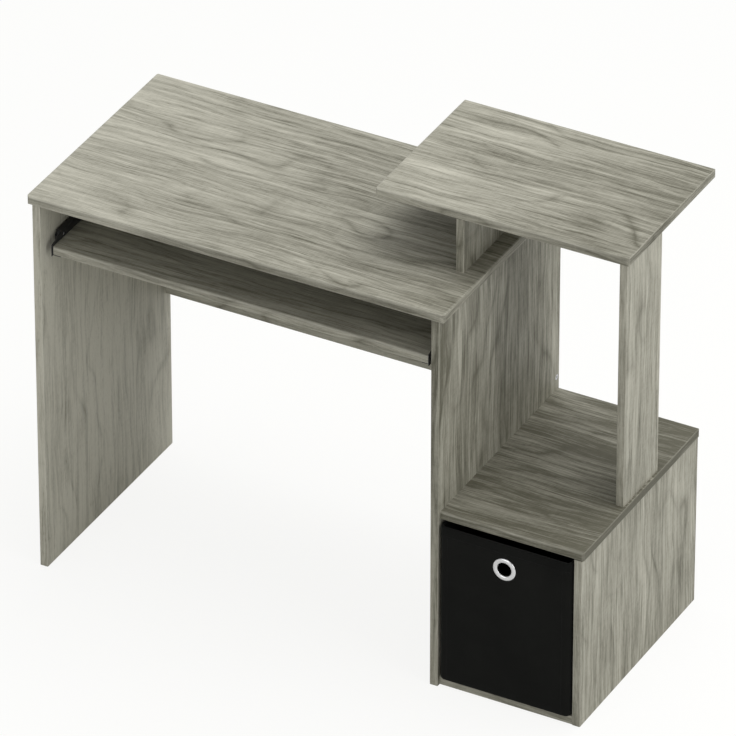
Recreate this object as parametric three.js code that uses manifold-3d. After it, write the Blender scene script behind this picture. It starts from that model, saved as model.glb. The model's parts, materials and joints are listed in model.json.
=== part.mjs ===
// Computer desk with a pull-out keyboard tray, a raised shelf and a cabinet that holds a fabric bin.
// Millimetres. X runs to the right, Y to the back and Z up. The origin is on the floor, under the
// middle of the whole desk.

import * as THREE from "three";
import { mergeVertices } from "three/addons/utils/BufferGeometryUtils.js";
import Module from "manifold-3d";

const wasm = await Module();
wasm.setup();

// Overall size
const deskWidth = 1050;
const deskDepth = 445;
const shelfTop = 853;
const deskTop = 736;

// Board stock
const boardH = 16; // thickness of the boards that lie flat
const boardV = 15; // thickness of the boards that stand
const softEdge = 3.5; // radius of the front edges of the boards that lie flat
const easedEdge = 1.5; // radius of the front edges of the boards that stand

// Desk half
const legLeft = -515.5; // outer face of the left panel
const middleLeft = 232; // left face of the middle panel
const legFront = -219.5;
const legBack = 213.5;
const desktopRight = 257;
const modestyLow = 316;

// Cabinet half
const cabinetFront = -212.5;
const cabinetBack = 211;
const cabinetTopHeight = 346;
const cabinetTopRight = 512;
const rightPanelOuter = 509.5;
const rightPanelFront = -213;

// Raised shelf
const shelfLeft = 60;
const shelfFront = -92.5;
const postOuter = 507;
const postFront = -59;
const postDepth = 125;
const riserRight = 224.5;
const riserFront = -91;
const riserJointY = 60; // where the riser is screwed and dowelled

// Keyboard tray and its slides
const trayFront = -203;
const trayDepth = 310;
const trayTop = 636;
const slideGap = 13; // room for one slide between a leg and the tray
const slideLength = 300;
const sheet = 1.25; // steel sheet of the slides
const channelFront = -172;
const channelLow = 622.75;
const channelHigh = 644.75;
const channelLip = 9; // how far the lips stand out from the leg
const channelCorner = 8; // radius of the channel's front corners
const lipStart = -150; // the lips stop here, behind the front roller
const railTopLip = 648.75; // underside of the rail's top lip
const railLipEnd = 2.5; // the top lip stops here, short of the leg
const railAhead = 1.5; // how far the rail's front end is ahead of the tray
const railTip = 4; // height of the rail's front tip over the tray
const viewHole = 4.5; // radius of the hole in the rail, in front of the front roller's rivet
const frontRoller = { radius: 8, y: -163, z: 640.5, inner: 2, outer: 9.5 };
const rearRoller = { radius: 9.25, y: 84, z: 633.75, inner: 3, outer: 10 };
const rivetRadius = 2.5;
const rivetHead = 4;
const rivetDome = { front: 1.6, rear: 0.75 }; // height of each rivet's head
const play = 0.25; // between a screw's or rivet's head and what it holds
const channelScrewY = [-130, 100];
const railScrewY = [-140, 70];
const channelScrew = { head: 3.5, shank: 1.75, length: 11, seat: 3.8, sunk: 1.8 };
const railScrew = { head: 3.75, shank: 1.75, headHeight: 2.25, up: 12, bore: 2.2 };
const railFlange = 14; // width of the rail's flange under the tray
const flangeBack = 4; // how far the flange's front end is behind the web's
const railScrewX = 20; // distance of the rail's screws from the leg

// Fabric bin
const binFront = -220;
const binDepth = 385;
const binHeight = 306;
const binGap = 3; // room on each side
const binCorner = 9;
const fabric = 3;
const binLift = 0.5; // room under the bin
const baseBoard = { thickness: 3, room: 1.5 };
const hemHeight = 22;
const hemExtra = 1;
const ring = { x: 370.5, z: 275, outer: 21.25, inner: 13, barrel: 15.25, flange: 1.75, reach: 5.5 };

// Fasteners
const gap = 0.3; // clearance of a fastener in its bore
const camRadius = 7.5;
const camDepth = 12.25;
const camDrop = 24; // from the leg's top edge to the cam's centre
const camBolt = { head: 3, neck: 2, thread: 3.3, reach: 10 }; // reach is up into the desktop
const longScrew = { length: 48, shank: 3.5, head: 5, headHeight: 3 };
const dowel = { radius: 4, length: 34, chamfer: 1, sunk: 24 };
const jointY = { front: -150, back: 150 }; // of the fasteners of the legs and the cabinet
const modestyScrewZ = { upper: 660, lower: 370 };
const sides = 12; // facets of a fastener and of its bore
const roundSides = 28; // facets of the rollers and the bin's ring
const cornerSteps = 4; // facets of a rounded corner

// Finishes
const finish = {
  board: { color: 0x96968a, roughness: 0.62, metalness: 0 },
  blackSteel: { color: 0x17181a, roughness: 0.45, metalness: 0.2 },
  nylon: { color: 0x1c1c1e, roughness: 0.5, metalness: 0 },
  zinc: { color: 0xc3c5c7, roughness: 0.35, metalness: 1 },
  fabric: { color: 0x18181a, roughness: 0.95, metalness: 0 },
  ring: { color: 0xd9dadb, roughness: 0.25, metalness: 1 },
  stiffener: { color: 0x3a3733, roughness: 0.9, metalness: 0 },
  beech: { color: 0xd2b48a, roughness: 0.7, metalness: 0 },
};

// Solids

function toSolid(geometry) {
  const bare = geometry.index ? geometry.toNonIndexed() : geometry;
  bare.deleteAttribute("normal");
  bare.deleteAttribute("uv");
  const merged = mergeVertices(bare);
  const mesh = new wasm.Mesh({
    numProp: 3,
    vertProperties: merged.attributes.position.array,
    triVerts: new Uint32Array(merged.index.array),
  });
  return new wasm.Manifold(mesh);
}

function toGeometry(solid) {
  const mesh = solid.getMesh();
  const geometry = new THREE.BufferGeometry();
  geometry.setAttribute("position", new THREE.BufferAttribute(mesh.vertProperties, 3));
  geometry.setIndex(new THREE.BufferAttribute(mesh.triVerts, 1));
  geometry.computeVertexNormals();
  return geometry;
}

// A rectangle with rounded corners. The radii go round from the corner that is low both ways.
function outline(low, high, radii = [0, 0, 0, 0]) {
  const corners = [
    { at: [low[0], low[1]], inward: [1, 1], start: Math.PI },
    { at: [high[0], low[1]], inward: [-1, 1], start: -Math.PI / 2 },
    { at: [high[0], high[1]], inward: [-1, -1], start: 0 },
    { at: [low[0], high[1]], inward: [1, -1], start: Math.PI / 2 },
  ];
  const points = corners.flatMap(({ at, inward, start }, i) => {
    const radius = radii[i];
    const steps = radius > 0 ? cornerSteps : 0;
    return Array.from({ length: steps + 1 }, (_, step) => {
      const angle = start + (steps ? (step / steps) * (Math.PI / 2) : 0);
      const a = at[0] + radius * (inward[0] + Math.cos(angle));
      const b = at[1] + radius * (inward[1] + Math.sin(angle));
      return new THREE.Vector2(a, b);
    });
  });
  return new THREE.Shape(points);
}

// A shape pushed along one axis. It is drawn in the other two, in turn: Y Z for X, Z X for Y, X Y for Z.
function prism(axis, shape, low, high) {
  const geometry = new THREE.ExtrudeGeometry(shape, {
    depth: high - low,
    bevelEnabled: false,
  });
  geometry.translate(0, 0, low);
  const x = new THREE.Vector3(1, 0, 0);
  const y = new THREE.Vector3(0, 1, 0);
  const z = new THREE.Vector3(0, 0, 1);
  const basis = { x: [y, z, x], y: [z, x, y], z: [x, y, z] }[axis];
  geometry.applyMatrix4(new THREE.Matrix4().makeBasis(...basis));
  return toSolid(geometry);
}

function block(low, high) {
  return prism("z", outline([low[0], low[1]], [high[0], high[1]]), low[2], high[2]);
}

// A rod between two points, with its facets' corners on the radius.
function rod(radius, start, end, facets = sides) {
  const from = new THREE.Vector3(...start);
  const along = new THREE.Vector3(...end).sub(from);
  const length = along.length();
  const geometry = new THREE.CylinderGeometry(radius, radius, length, facets);
  geometry.translate(0, length / 2, 0);
  const up = new THREE.Vector3(0, 1, 0);
  geometry.applyQuaternion(new THREE.Quaternion().setFromUnitVectors(up, along.normalize()));
  geometry.translate(...start);
  return toSolid(geometry);
}

// A profile of [radius, height] points turned about Y. It runs up the outside.
function turned(profile, facets = sides) {
  const points = profile.map(([radius, height]) => new THREE.Vector2(radius, height));
  return toSolid(new THREE.LatheGeometry(points, facets));
}

// A profile with a hole: it closes on its first point.
function turnedRing(profile) {
  return turned([...profile, profile[0]], roundSides);
}

function cut(solid, ...tools) {
  return tools.reduce((rest, tool) => rest.subtract(tool), solid);
}

// A flat or standing board. plan rounds its corners seen from above, from the front left one round
// to the back left one; front, back, left and right round its long edges.
function board(low, high, soft = {}) {
  const { plan = [0, 0, 0, 0], front = 0, back = 0, left = 0, right = 0 } = soft;
  let solid = prism("z", outline([low[0], low[1]], [high[0], high[1]], plan), low[2], high[2]);
  if (front || back) {
    const section = outline([low[1], low[2]], [high[1], high[2]], [front, back, back, front]);
    solid = solid.intersect(prism("x", section, low[0], high[0]));
  }
  if (left || right) {
    const section = outline([low[2], low[0]], [high[2], high[0]], [left, left, right, right]);
    solid = solid.intersect(prism("y", section, low[1], high[1]));
  }
  return solid;
}

const desk = new THREE.Group();

function add(name, solid, kind, parent = desk) {
  const material = new THREE.MeshStandardMaterial(finish[kind]);
  const mesh = new THREE.Mesh(toGeometry(solid), material);
  mesh.name = name;
  parent.add(mesh);
  return mesh;
}

// Places worked out from the sizes above
const legInner = legLeft + boardV;
const middleRight = middleLeft + boardV;
const desktopLow = deskTop - boardH;
const shelfLow = shelfTop - boardH;
const cabinetTopLow = cabinetTopHeight - boardH;
const rightPanelInner = rightPanelOuter - boardV;
const postBack = postFront + postDepth;
const postInner = postOuter - boardV;
const postMiddle = [postOuter - boardV / 2, postFront + postDepth / 2];
const riserLeft = riserRight - boardV;
const riserMiddle = [riserRight - boardV / 2, riserJointY];
const rightPanelMiddle = rightPanelOuter - boardV / 2;
const modestyFront = legBack - boardV;
const modestyMiddle = legBack - boardV / 2;
const trayLeft = legInner + slideGap;
const trayRight = middleLeft - slideGap;
const trayLow = trayTop - boardH;
const half = boardH / 2;

// Fastener places. A screw's is on the outer board's face and a dowel's is its hidden end, each with
// the way it goes in.
const screwPlaces = [
  ...Object.entries(modestyScrewZ).flatMap(([level, z]) => [
    { name: `modesty_screw_left_${level}`, at: [legLeft, modestyMiddle, z], into: [1, 0, 0] },
    { name: `modesty_screw_right_${level}`, at: [middleRight, modestyMiddle, z], into: [-1, 0, 0] },
  ]),
  ...Object.entries(jointY).flatMap(([end, y]) => [
    { name: `cabinet_top_screw_${end}`, at: [middleLeft, y, cabinetTopLow + half], into: [1, 0, 0] },
    { name: `cabinet_bottom_screw_${end}`, at: [middleLeft, y, half], into: [1, 0, 0] },
  ]),
  { name: "post_screw", at: [...postMiddle, cabinetTopLow], into: [0, 0, 1] },
  { name: "riser_screw", at: [...riserMiddle, desktopLow], into: [0, 0, 1] },
];
const dowelLow = cabinetTopLow - dowel.sunk;
const dowelPlaces = [
  ...Object.entries(jointY).flatMap(([end, y]) => [
    { name: `cabinet_top_dowel_${end}`, at: [rightPanelMiddle, y, dowelLow], into: [0, 0, 1] },
    { name: `cabinet_bottom_dowel_${end}`, at: [rightPanelInner - dowel.sunk, y, half], into: [1, 0, 0] },
  ]),
  { name: "post_dowel", at: [...postMiddle, shelfLow - dowel.sunk], into: [0, 0, 1] },
  { name: "riser_dowel", at: [...riserMiddle, shelfLow - dowel.sunk], into: [0, 0, 1] },
];
// Each cam lies in the leg's inner face, with its bolt hanging from the desktop.
const camPlaces = [
  { name: "left", face: legInner, inward: -1 },
  { name: "middle", face: middleLeft, inward: 1 },
].flatMap(({ name, face, inward }) =>
  Object.entries(jointY).map(([end, y]) => ({ name: `${name}_${end}`, face, inward, y })),
);

function step(at, into, distance) {
  return at.map((value, i) => value + into[i] * distance);
}

// Bores

function screwBores() {
  return screwPlaces.flatMap(({ at, into }) => [
    rod(longScrew.head + gap, step(at, into, -1), step(at, into, longScrew.headHeight + 2 * gap)),
    rod(longScrew.shank + gap, at, step(at, into, longScrew.length + 1)),
  ]);
}

function dowelBores() {
  return dowelPlaces.map(({ at, into }) =>
    rod(dowel.radius + gap, step(at, into, -gap), step(at, into, dowel.length + gap)),
  );
}

function camBores() {
  const centre = desktopLow - camDrop;
  return camPlaces.flatMap(({ face, inward, y }) => {
    const boltX = face + (inward * boardV) / 2;
    return [
      rod(camRadius + gap, [face - inward, y, centre], [face + inward * (camDepth + 2 * gap), y, centre]),
      rod(longScrew.shank + gap, [boltX, y, centre], [boltX, y, desktopLow + camBolt.reach + 1]),
    ];
  });
}

const bores = [...screwBores(), ...dowelBores(), ...camBores()];

// The boards, each with the bores that reach it

function addBoard(name, low, high, soft, extra = []) {
  add(name, cut(board(low, high, soft), ...bores, ...extra), "board");
}

// Bores of the channel screws in one leg. face is the leg's face, into the way the screws go.
function channelScrewBores(face, into) {
  const z = rearRoller.z;
  return channelScrewY.flatMap((y) => [
    rod(channelScrew.seat, [face - into, y, z], [face + into * channelScrew.sunk, y, z]),
    rod(channelScrew.shank + gap, [face, y, z], [face + into * (channelScrew.length + 1), y, z]),
  ]);
}

addBoard(
  "desktop",
  [-deskWidth / 2, -deskDepth / 2, desktopLow],
  [desktopRight, deskDepth / 2, deskTop],
  { plan: [8, 8, 3, 6], front: softEdge, back: easedEdge, left: easedEdge, right: softEdge },
);
addBoard(
  "left_panel",
  [legLeft, legFront, 0],
  [legInner, legBack, desktopLow],
  { plan: [easedEdge, easedEdge, 0, 0] },
  channelScrewBores(legInner, -1),
);
addBoard(
  "middle_panel",
  [middleLeft, legFront, 0],
  [middleRight, legBack, desktopLow],
  { plan: [easedEdge, easedEdge, 0, 0] },
  channelScrewBores(middleLeft, 1),
);
addBoard("modesty_panel", [legInner, modestyFront, modestyLow], [middleLeft, legBack, desktopLow]);
addBoard(
  "cabinet_bottom",
  [middleRight, cabinetFront, 0],
  [rightPanelInner, cabinetBack, boardH],
  { front: easedEdge },
);
addBoard(
  "cabinet_top",
  [middleRight, cabinetFront, cabinetTopLow],
  [cabinetTopRight, cabinetBack, cabinetTopHeight],
  { plan: [0, 4, 2, 0], front: softEdge, right: easedEdge },
);
addBoard(
  "right_panel",
  [rightPanelInner, rightPanelFront, 0],
  [rightPanelOuter, cabinetBack, cabinetTopLow],
  { plan: [easedEdge, easedEdge, 0, 0] },
);
addBoard(
  "shelf_post",
  [postInner, postFront, cabinetTopHeight],
  [postOuter, postBack, shelfLow],
  { plan: [easedEdge, easedEdge, easedEdge, easedEdge] },
);
addBoard(
  "riser_panel",
  [riserLeft, riserFront, deskTop],
  [riserRight, legBack, shelfLow],
  { plan: [easedEdge, easedEdge, 0, 0] },
);
addBoard(
  "raised_shelf",
  [shelfLeft, shelfFront, shelfLow],
  [deskWidth / 2, deskDepth / 2, shelfTop],
  { plan: [6, 5, 2, 4], front: softEdge, back: easedEdge, left: softEdge, right: easedEdge },
);

// Keyboard tray

const trayBack = trayFront + trayDepth;

function trayScrewBores() {
  const xs = [legInner + railScrewX, middleLeft - railScrewX];
  const high = trayLow + railScrew.up + 1;
  return xs.flatMap((x) =>
    railScrewY.map((y) => rod(railScrew.shank + gap, [x, y, trayLow - 1], [x, y, high])),
  );
}

const traySoft = { plan: [3, 3, 0, 0], front: 4, back: easedEdge };
const trayBoard = board([trayLeft, trayFront, trayLow], [trayRight, trayBack, trayTop], traySoft);
add("keyboard_tray", cut(trayBoard, ...trayScrewBores()), "board");

// Tray slides. One set is drawn with X running from the leg's face towards the tray.

// A rod across the slide, from one distance off the leg to another.
function crossRod(radius, { y, z }, from, to) {
  return rod(radius, [from, y, z], [to, y, z]);
}

function slideChannel() {
  const back = channelFront + slideLength;
  const corners = [channelCorner, 0, 0, channelCorner];
  const web = prism("x", outline([channelFront, channelLow], [back, channelHigh], corners), 0, sheet);
  const lips = [channelLow, channelHigh - sheet].map((z) =>
    block([0, lipStart, z], [channelLip, back, z + sheet]),
  );
  const rivetBore = crossRod(rivetRadius + gap, frontRoller, -1, sheet + 1);
  const screwBores = channelScrewY.map((y) =>
    crossRod(channelScrew.seat, { y, z: rearRoller.z }, -1, sheet + 1),
  );
  return cut(web.add(lips[0]).add(lips[1]), rivetBore, ...screwBores);
}

function slideRail() {
  const front = trayFront - railAhead;
  const back = front + slideLength;
  const low = trayLow - sheet;
  const high = railTopLip + sheet;
  const webInner = slideGap - sheet;
  const web = block([webInner, front, low], [slideGap, back, high]);
  const flange = block([slideGap, front + flangeBack, low], [slideGap + railFlange, back, trayLow]);
  const lip = block([railLipEnd, channelFront, railTopLip], [webInner, back, high]);
  // The web rises from a low tip at the front to its full height over the front roller.
  const slope = new THREE.Shape();
  slope.moveTo(front - 1, trayTop + railTip);
  slope.lineTo(front, trayTop + railTip);
  slope.lineTo(channelFront, high);
  slope.lineTo(channelFront, high + 1);
  slope.lineTo(front - 1, high + 1);
  const nose = prism("x", slope, webInner - 1, slideGap + 1);
  const opening = crossRod(viewHole, frontRoller, webInner - 1, slideGap + 1);
  const rivetBore = crossRod(rivetRadius + gap, rearRoller, webInner - 1, slideGap + 1);
  const screwBores = railScrewY.map((y) =>
    rod(railScrew.bore, [railScrewX, y, low - 1], [railScrewX, y, trayLow + 1]),
  );
  return cut(web.add(flange).add(lip), nose, opening, rivetBore, ...screwBores);
}

// A roller with its bore on the rivet and eased rims.
function roller({ radius, inner, outer }) {
  const bore = rivetRadius + gap;
  const width = outer - inner;
  const ease = 0.75;
  return turnedRing([
    [bore, 0],
    [radius - ease, 0],
    [radius, ease],
    [radius, width - ease],
    [radius - ease, width],
    [bore, width],
  ]);
}

// A rivet with a domed head at its far end.
function rivet(length, dome) {
  return turned([
    [0, 0],
    [rivetRadius, 0],
    [rivetRadius, length],
    [rivetHead, length],
    [rivetHead - 0.25, length + dome * 0.6],
    [rivetHead - 1.5, length + dome],
    [0, length + dome],
  ]);
}

// A cross recess of two thin slots at a head's centre.
function crossRecess(reach, width, from, to) {
  const slot = block([-reach, from, -width], [reach, to, width]);
  return slot.add(block([-width, from, -reach], [width, to, reach]));
}

// A flat head screw. Its head's face is at height 0, and its point is below it.
function flatScrew() {
  const { head, shank, length } = channelScrew;
  const body = turned([
    [0, -length],
    [1.2, 1.5 - length],
    [shank, 4 - length],
    [shank, -2.5],
    [head, -0.75],
    [head, 0],
    [0, 0],
  ]);
  return cut(body, crossRecess(1.8, 0.4, -0.8, 1));
}

// A pan head screw. The underside of its head is at height 0, and its shank stands up from it.
function panScrew() {
  const { head, shank, headHeight, up } = railScrew;
  const body = turned([
    [0, -headHeight],
    [2, -headHeight],
    [head - 0.25, 1 - headHeight],
    [head, 0],
    [shank, 0],
    [shank, up - 2],
    [0.5, up],
    [0, up],
  ]);
  return cut(body, crossRecess(2, 0.4, -headHeight - 1, 1 - headHeight));
}

function lay(mesh, position, rotation = [0, 0, 0]) {
  mesh.position.set(...position);
  mesh.rotation.set(...rotation);
}

const quarter = Math.PI / 2;

function addSlide(side, faceX, mirror) {
  const slide = new THREE.Group();
  slide.position.x = faceX;
  slide.scale.x = mirror;
  desk.add(slide);
  add(`${side}_slide_channel`, slideChannel(), "blackSteel", slide);
  add(`${side}_slide_rail`, slideRail(), "blackSteel", slide);

  const front = add(`${side}_front_roller`, roller(frontRoller), "nylon", slide);
  lay(front, [frontRoller.inner, frontRoller.y, frontRoller.z], [0, 0, -quarter]);
  const frontAxle = add(`${side}_front_axle`, rivet(frontRoller.outer, rivetDome.front), "zinc", slide);
  lay(frontAxle, [gap, frontRoller.y, frontRoller.z], [0, 0, -quarter]);

  const rear = add(`${side}_rear_roller`, roller(rearRoller), "nylon", slide);
  lay(rear, [rearRoller.inner, rearRoller.y, rearRoller.z], [0, 0, -quarter]);
  const rearReach = slideGap - gap - (rearRoller.inner - play);
  const rearAxle = add(`${side}_rear_axle`, rivet(rearReach, rivetDome.rear), "zinc", slide);
  lay(rearAxle, [slideGap - gap, rearRoller.y, rearRoller.z], [0, 0, quarter]);

  channelScrewY.forEach((y, i) => {
    const screw = add(`${side}_channel_screw_${i + 1}`, flatScrew(), "zinc", slide);
    lay(screw, [sheet - play, y, rearRoller.z], [0, 0, -quarter]);
  });
  railScrewY.forEach((y, i) => {
    const screw = add(`${side}_rail_screw_${i + 1}`, panScrew(), "zinc", slide);
    lay(screw, [railScrewX, y, trayLow - sheet - play], [quarter, 0, 0]);
  });
}

addSlide("left", legInner, 1);
addSlide("right", middleLeft, -1);

// Fasteners of the boards

function longScrewSolid() {
  const { length, shank, head, headHeight } = longScrew;
  const body = turned([
    [0, 0],
    [head - 0.5, 0],
    [head, 0.5],
    [head, headHeight - 1],
    [shank, headHeight],
    [shank, length - 4],
    [1, length],
    [0, length],
  ]);
  const hexSocket = rod(2.2, [0, -1, 0], [0, 2.4, 0], 6);
  return cut(body, hexSocket);
}

function dowelSolid() {
  const { radius, length, chamfer } = dowel;
  return turned([
    [0, 0],
    [radius - chamfer, 0],
    [radius, chamfer],
    [radius, length - chamfer],
    [radius - chamfer, length],
    [0, length],
  ]);
}

// The cam's face is at height 0. Its pocket opens towards +Z, where the bolt comes in.
function camSolid() {
  const body = turned([
    [0, -camDepth],
    [camRadius, -camDepth],
    [camRadius, -0.5],
    [camRadius - 0.5, 0],
    [0, 0],
  ]);
  const pocketY = -boardV / 2 + gap;
  const pocket = rod(longScrew.shank + 0.4, [0, pocketY, -1], [0, pocketY, camRadius + 1]);
  return cut(body, pocket, crossRecess(3.2, 0.6, -1.5, 1));
}

// The bolt's threaded end goes up into the desktop, and its head hangs in the cam.
function camBoltSolid() {
  const { head, neck, thread, reach } = camBolt;
  const length = camDrop + reach - 1;
  return turned([
    [0, 0],
    [head, 0],
    [head, 1.5],
    [neck, 2.5],
    [neck, 7],
    [thread, 8],
    [thread, length],
    [0, length],
  ]);
}

const up = new THREE.Vector3(0, 1, 0);

function aim(mesh, at, into) {
  mesh.position.set(...at);
  mesh.quaternion.setFromUnitVectors(up, new THREE.Vector3(...into));
}

screwPlaces.forEach(({ name, at, into }) => {
  aim(add(name, longScrewSolid(), "zinc"), step(at, into, gap), into);
});
dowelPlaces.forEach(({ name, at, into }) => {
  aim(add(name, dowelSolid(), "beech"), at, into);
});
camPlaces.forEach(({ name, face, inward, y }) => {
  const centre = desktopLow - camDrop;
  const lock = add(`${name}_cam_lock`, camSolid(), "zinc");
  lay(lock, [face + inward * gap, y, centre], [0, 0, inward * quarter]);
  const bolt = add(`${name}_cam_bolt`, camBoltSolid(), "zinc");
  lay(bolt, [face + (inward * boardV) / 2, y, centre + 1], [quarter, 0, 0]);
});

// Fabric bin

const binLeft = middleRight + binGap;
const binRight = rightPanelInner - binGap;
const binLow = boardH + binLift;
const binHigh = binLow + binHeight;
const binBack = binFront + binDepth;

function binSleeve(inset, low, high) {
  const r = Math.max(binCorner - inset, 1);
  const near = [binLeft + inset, binFront + inset];
  const far = [binRight - inset, binBack - inset];
  return prism("z", outline(near, far, [r, r, r, r]), low, high);
}

function binShell() {
  const outer = binSleeve(0, binLow, binHigh);
  const hollow = binSleeve(fabric, binLow + fabric, binHigh - hemHeight);
  const mouth = binSleeve(fabric + hemExtra, binHigh - hemHeight - 1, binHigh + 1);
  const ahead = [ring.x, binFront - 5, ring.z];
  const eyelet = rod(ring.barrel + 0.5, ahead, [ring.x, binFront + 10, ring.z], roundSides);
  return cut(outer, hollow, mouth, eyelet);
}

add("bin_shell", binShell(), "fabric");
const baseLow = binLow + fabric + gap;
const baseSolid = binSleeve(fabric + baseBoard.room, baseLow, baseLow + baseBoard.thickness);
add("bin_base_board", baseSolid, "stiffener");

// The ring's front half has the flange and the barrel; its back half is a washer round the barrel.
const ringFront = turnedRing([
  [ring.inner, 0.5],
  [ring.inner + 0.75, 0],
  [ring.outer - 1, 0],
  [ring.outer, 0.75],
  [ring.outer, ring.flange],
  [ring.barrel, ring.flange],
  [ring.barrel, ring.flange + ring.reach],
  [ring.inner, ring.flange + ring.reach],
]);
const ringBack = turnedRing([
  [ring.barrel + gap, 0],
  [ring.outer - 1, 0],
  [ring.outer - 1, 1],
  [ring.outer - 2, 1.5],
  [ring.barrel + gap, 1.5],
]);
lay(add("bin_ring_front", ringFront, "ring"), [ring.x, binFront - gap - ring.flange, ring.z]);
lay(add("bin_ring_back", ringBack, "ring"), [ring.x, binFront + fabric + gap, ring.z]);

export default desk;
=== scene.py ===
import json
import math

import bmesh
import bpy
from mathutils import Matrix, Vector


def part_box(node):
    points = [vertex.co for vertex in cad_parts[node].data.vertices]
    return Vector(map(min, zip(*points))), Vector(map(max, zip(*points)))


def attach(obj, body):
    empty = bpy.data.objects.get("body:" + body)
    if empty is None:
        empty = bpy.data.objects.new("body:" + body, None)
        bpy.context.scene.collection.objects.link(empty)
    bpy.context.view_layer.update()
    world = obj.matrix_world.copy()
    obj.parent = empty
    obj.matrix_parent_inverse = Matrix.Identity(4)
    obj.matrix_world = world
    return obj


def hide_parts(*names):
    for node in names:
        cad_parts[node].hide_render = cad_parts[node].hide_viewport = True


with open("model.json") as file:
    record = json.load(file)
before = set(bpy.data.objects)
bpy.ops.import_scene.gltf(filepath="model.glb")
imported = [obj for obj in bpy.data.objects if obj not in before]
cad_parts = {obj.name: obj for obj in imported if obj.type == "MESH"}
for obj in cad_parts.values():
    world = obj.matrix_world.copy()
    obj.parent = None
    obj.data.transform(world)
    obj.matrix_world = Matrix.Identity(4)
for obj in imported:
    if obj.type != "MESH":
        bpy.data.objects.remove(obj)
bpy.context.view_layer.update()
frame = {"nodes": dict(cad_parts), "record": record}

nodes = frame["nodes"]
bodies = frame["record"]["behaviour"]["bodies"]
bodyOfNode = {node: body for body, members in bodies.items() for node in members}
print("frame loaded:", len(nodes), "nodes")

# Camera

cameraSet = {
    "azimuth": 28.2,  # degrees towards the desk's right
    "elevation": 33.0,
    "distance": 15.37,
    "lens": 450.7,  # millimetres, as is the sensor
    "sensor": 36,
    "near": 0.1,
    "far": 200,
    "aim": Vector((-0.0037, 0.0033, 0.4272)),
}


def addCamera():
    turn = math.radians(cameraSet["azimuth"])
    rise = math.radians(cameraSet["elevation"])
    level = math.cos(rise)
    back = Vector((math.sin(turn) * level, -math.cos(turn) * level, math.sin(rise)))
    data = bpy.data.cameras.new("deskCamera")
    data.lens = cameraSet["lens"]
    data.sensor_width = cameraSet["sensor"]
    data.clip_start = cameraSet["near"]
    data.clip_end = cameraSet["far"]
    camera = bpy.data.objects.new("deskCamera", data)
    camera.rotation_mode = "QUATERNION"
    camera.location = cameraSet["aim"] + back * cameraSet["distance"]
    camera.rotation_quaternion = (-back).to_track_quat("-Z", "Y")
    bpy.context.scene.collection.objects.link(camera)
    bpy.context.scene.camera = camera


addCamera()
print("camera placed")

# Node tree helpers


def feed(tree, socket, value):
    if isinstance(value, bpy.types.NodeSocket):
        tree.links.new(value, socket)
    else:
        socket.default_value = value


def addNode(tree, kind, inputs=None, **settings):
    node = tree.nodes.new(kind)
    for key, value in settings.items():
        setattr(node, key, value)
    for key, value in (inputs or {}).items():
        feed(tree, node.inputs[key], value)
    return node


def calc(tree, operation, a, b=0.0, c=None):
    values = {0: a, 1: b}
    if c is not None:
        values[2] = c
    return addNode(tree, "ShaderNodeMath", values, operation=operation).outputs[0]


def spread(tree, value, low, high, toLow=0.0, toHigh=1.0):
    inputs = {"Value": value, "From Min": low, "From Max": high, "To Min": toLow, "To Max": toHigh}
    return addNode(tree, "ShaderNodeMapRange", inputs, clamp=True).outputs["Result"]


def mixColour(tree, factor, a, b, blend="MIX"):
    # The mix node keeps its colour sockets at 6 and 7, and its colour output at 2.
    inputs = {0: factor, 6: a, 7: b}
    return addNode(tree, "ShaderNodeMix", inputs, data_type="RGBA", blend_type=blend).outputs[2]


def stretchedNoise(tree, vector, scale, detail, roughness=0.55):
    scaled = addNode(tree, "ShaderNodeVectorMath", {0: vector, 1: scale}, operation="MULTIPLY")
    inputs = {"Vector": scaled.outputs[0], "Scale": 1.0, "Detail": detail, "Roughness": roughness}
    return addNode(tree, "ShaderNodeTexNoise", inputs).outputs["Fac"]


def newGroup(name, inputs, outputs):
    group = bpy.data.node_groups.new(name, "ShaderNodeTree")
    for label, kind, value in inputs:
        socket = group.interface.new_socket(label, in_out="INPUT", socket_type=kind)
        if value is not None:
            socket.default_value = value
    for label, kind in outputs:
        group.interface.new_socket(label, in_out="OUTPUT", socket_type=kind)
    return group, group.nodes.new("NodeGroupInput"), group.nodes.new("NodeGroupOutput")


def placeGroup(tree, group, inputs):
    node = tree.nodes.new("ShaderNodeGroup")
    node.node_tree = group
    for key, value in inputs.items():
        feed(tree, node.inputs[key], value)
    return node


def newMaterial(name, fixed):
    material = bpy.data.materials.new(name)
    material.use_nodes = True
    tree = material.node_tree
    shader = tree.nodes["Principled BSDF"]
    for key, value in fixed.items():
        shader.inputs[key].default_value = value
    return material, tree, shader


def objectPoint(tree):
    return addNode(tree, "ShaderNodeTexCoord").outputs["Object"]


# Shared shader groups

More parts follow.
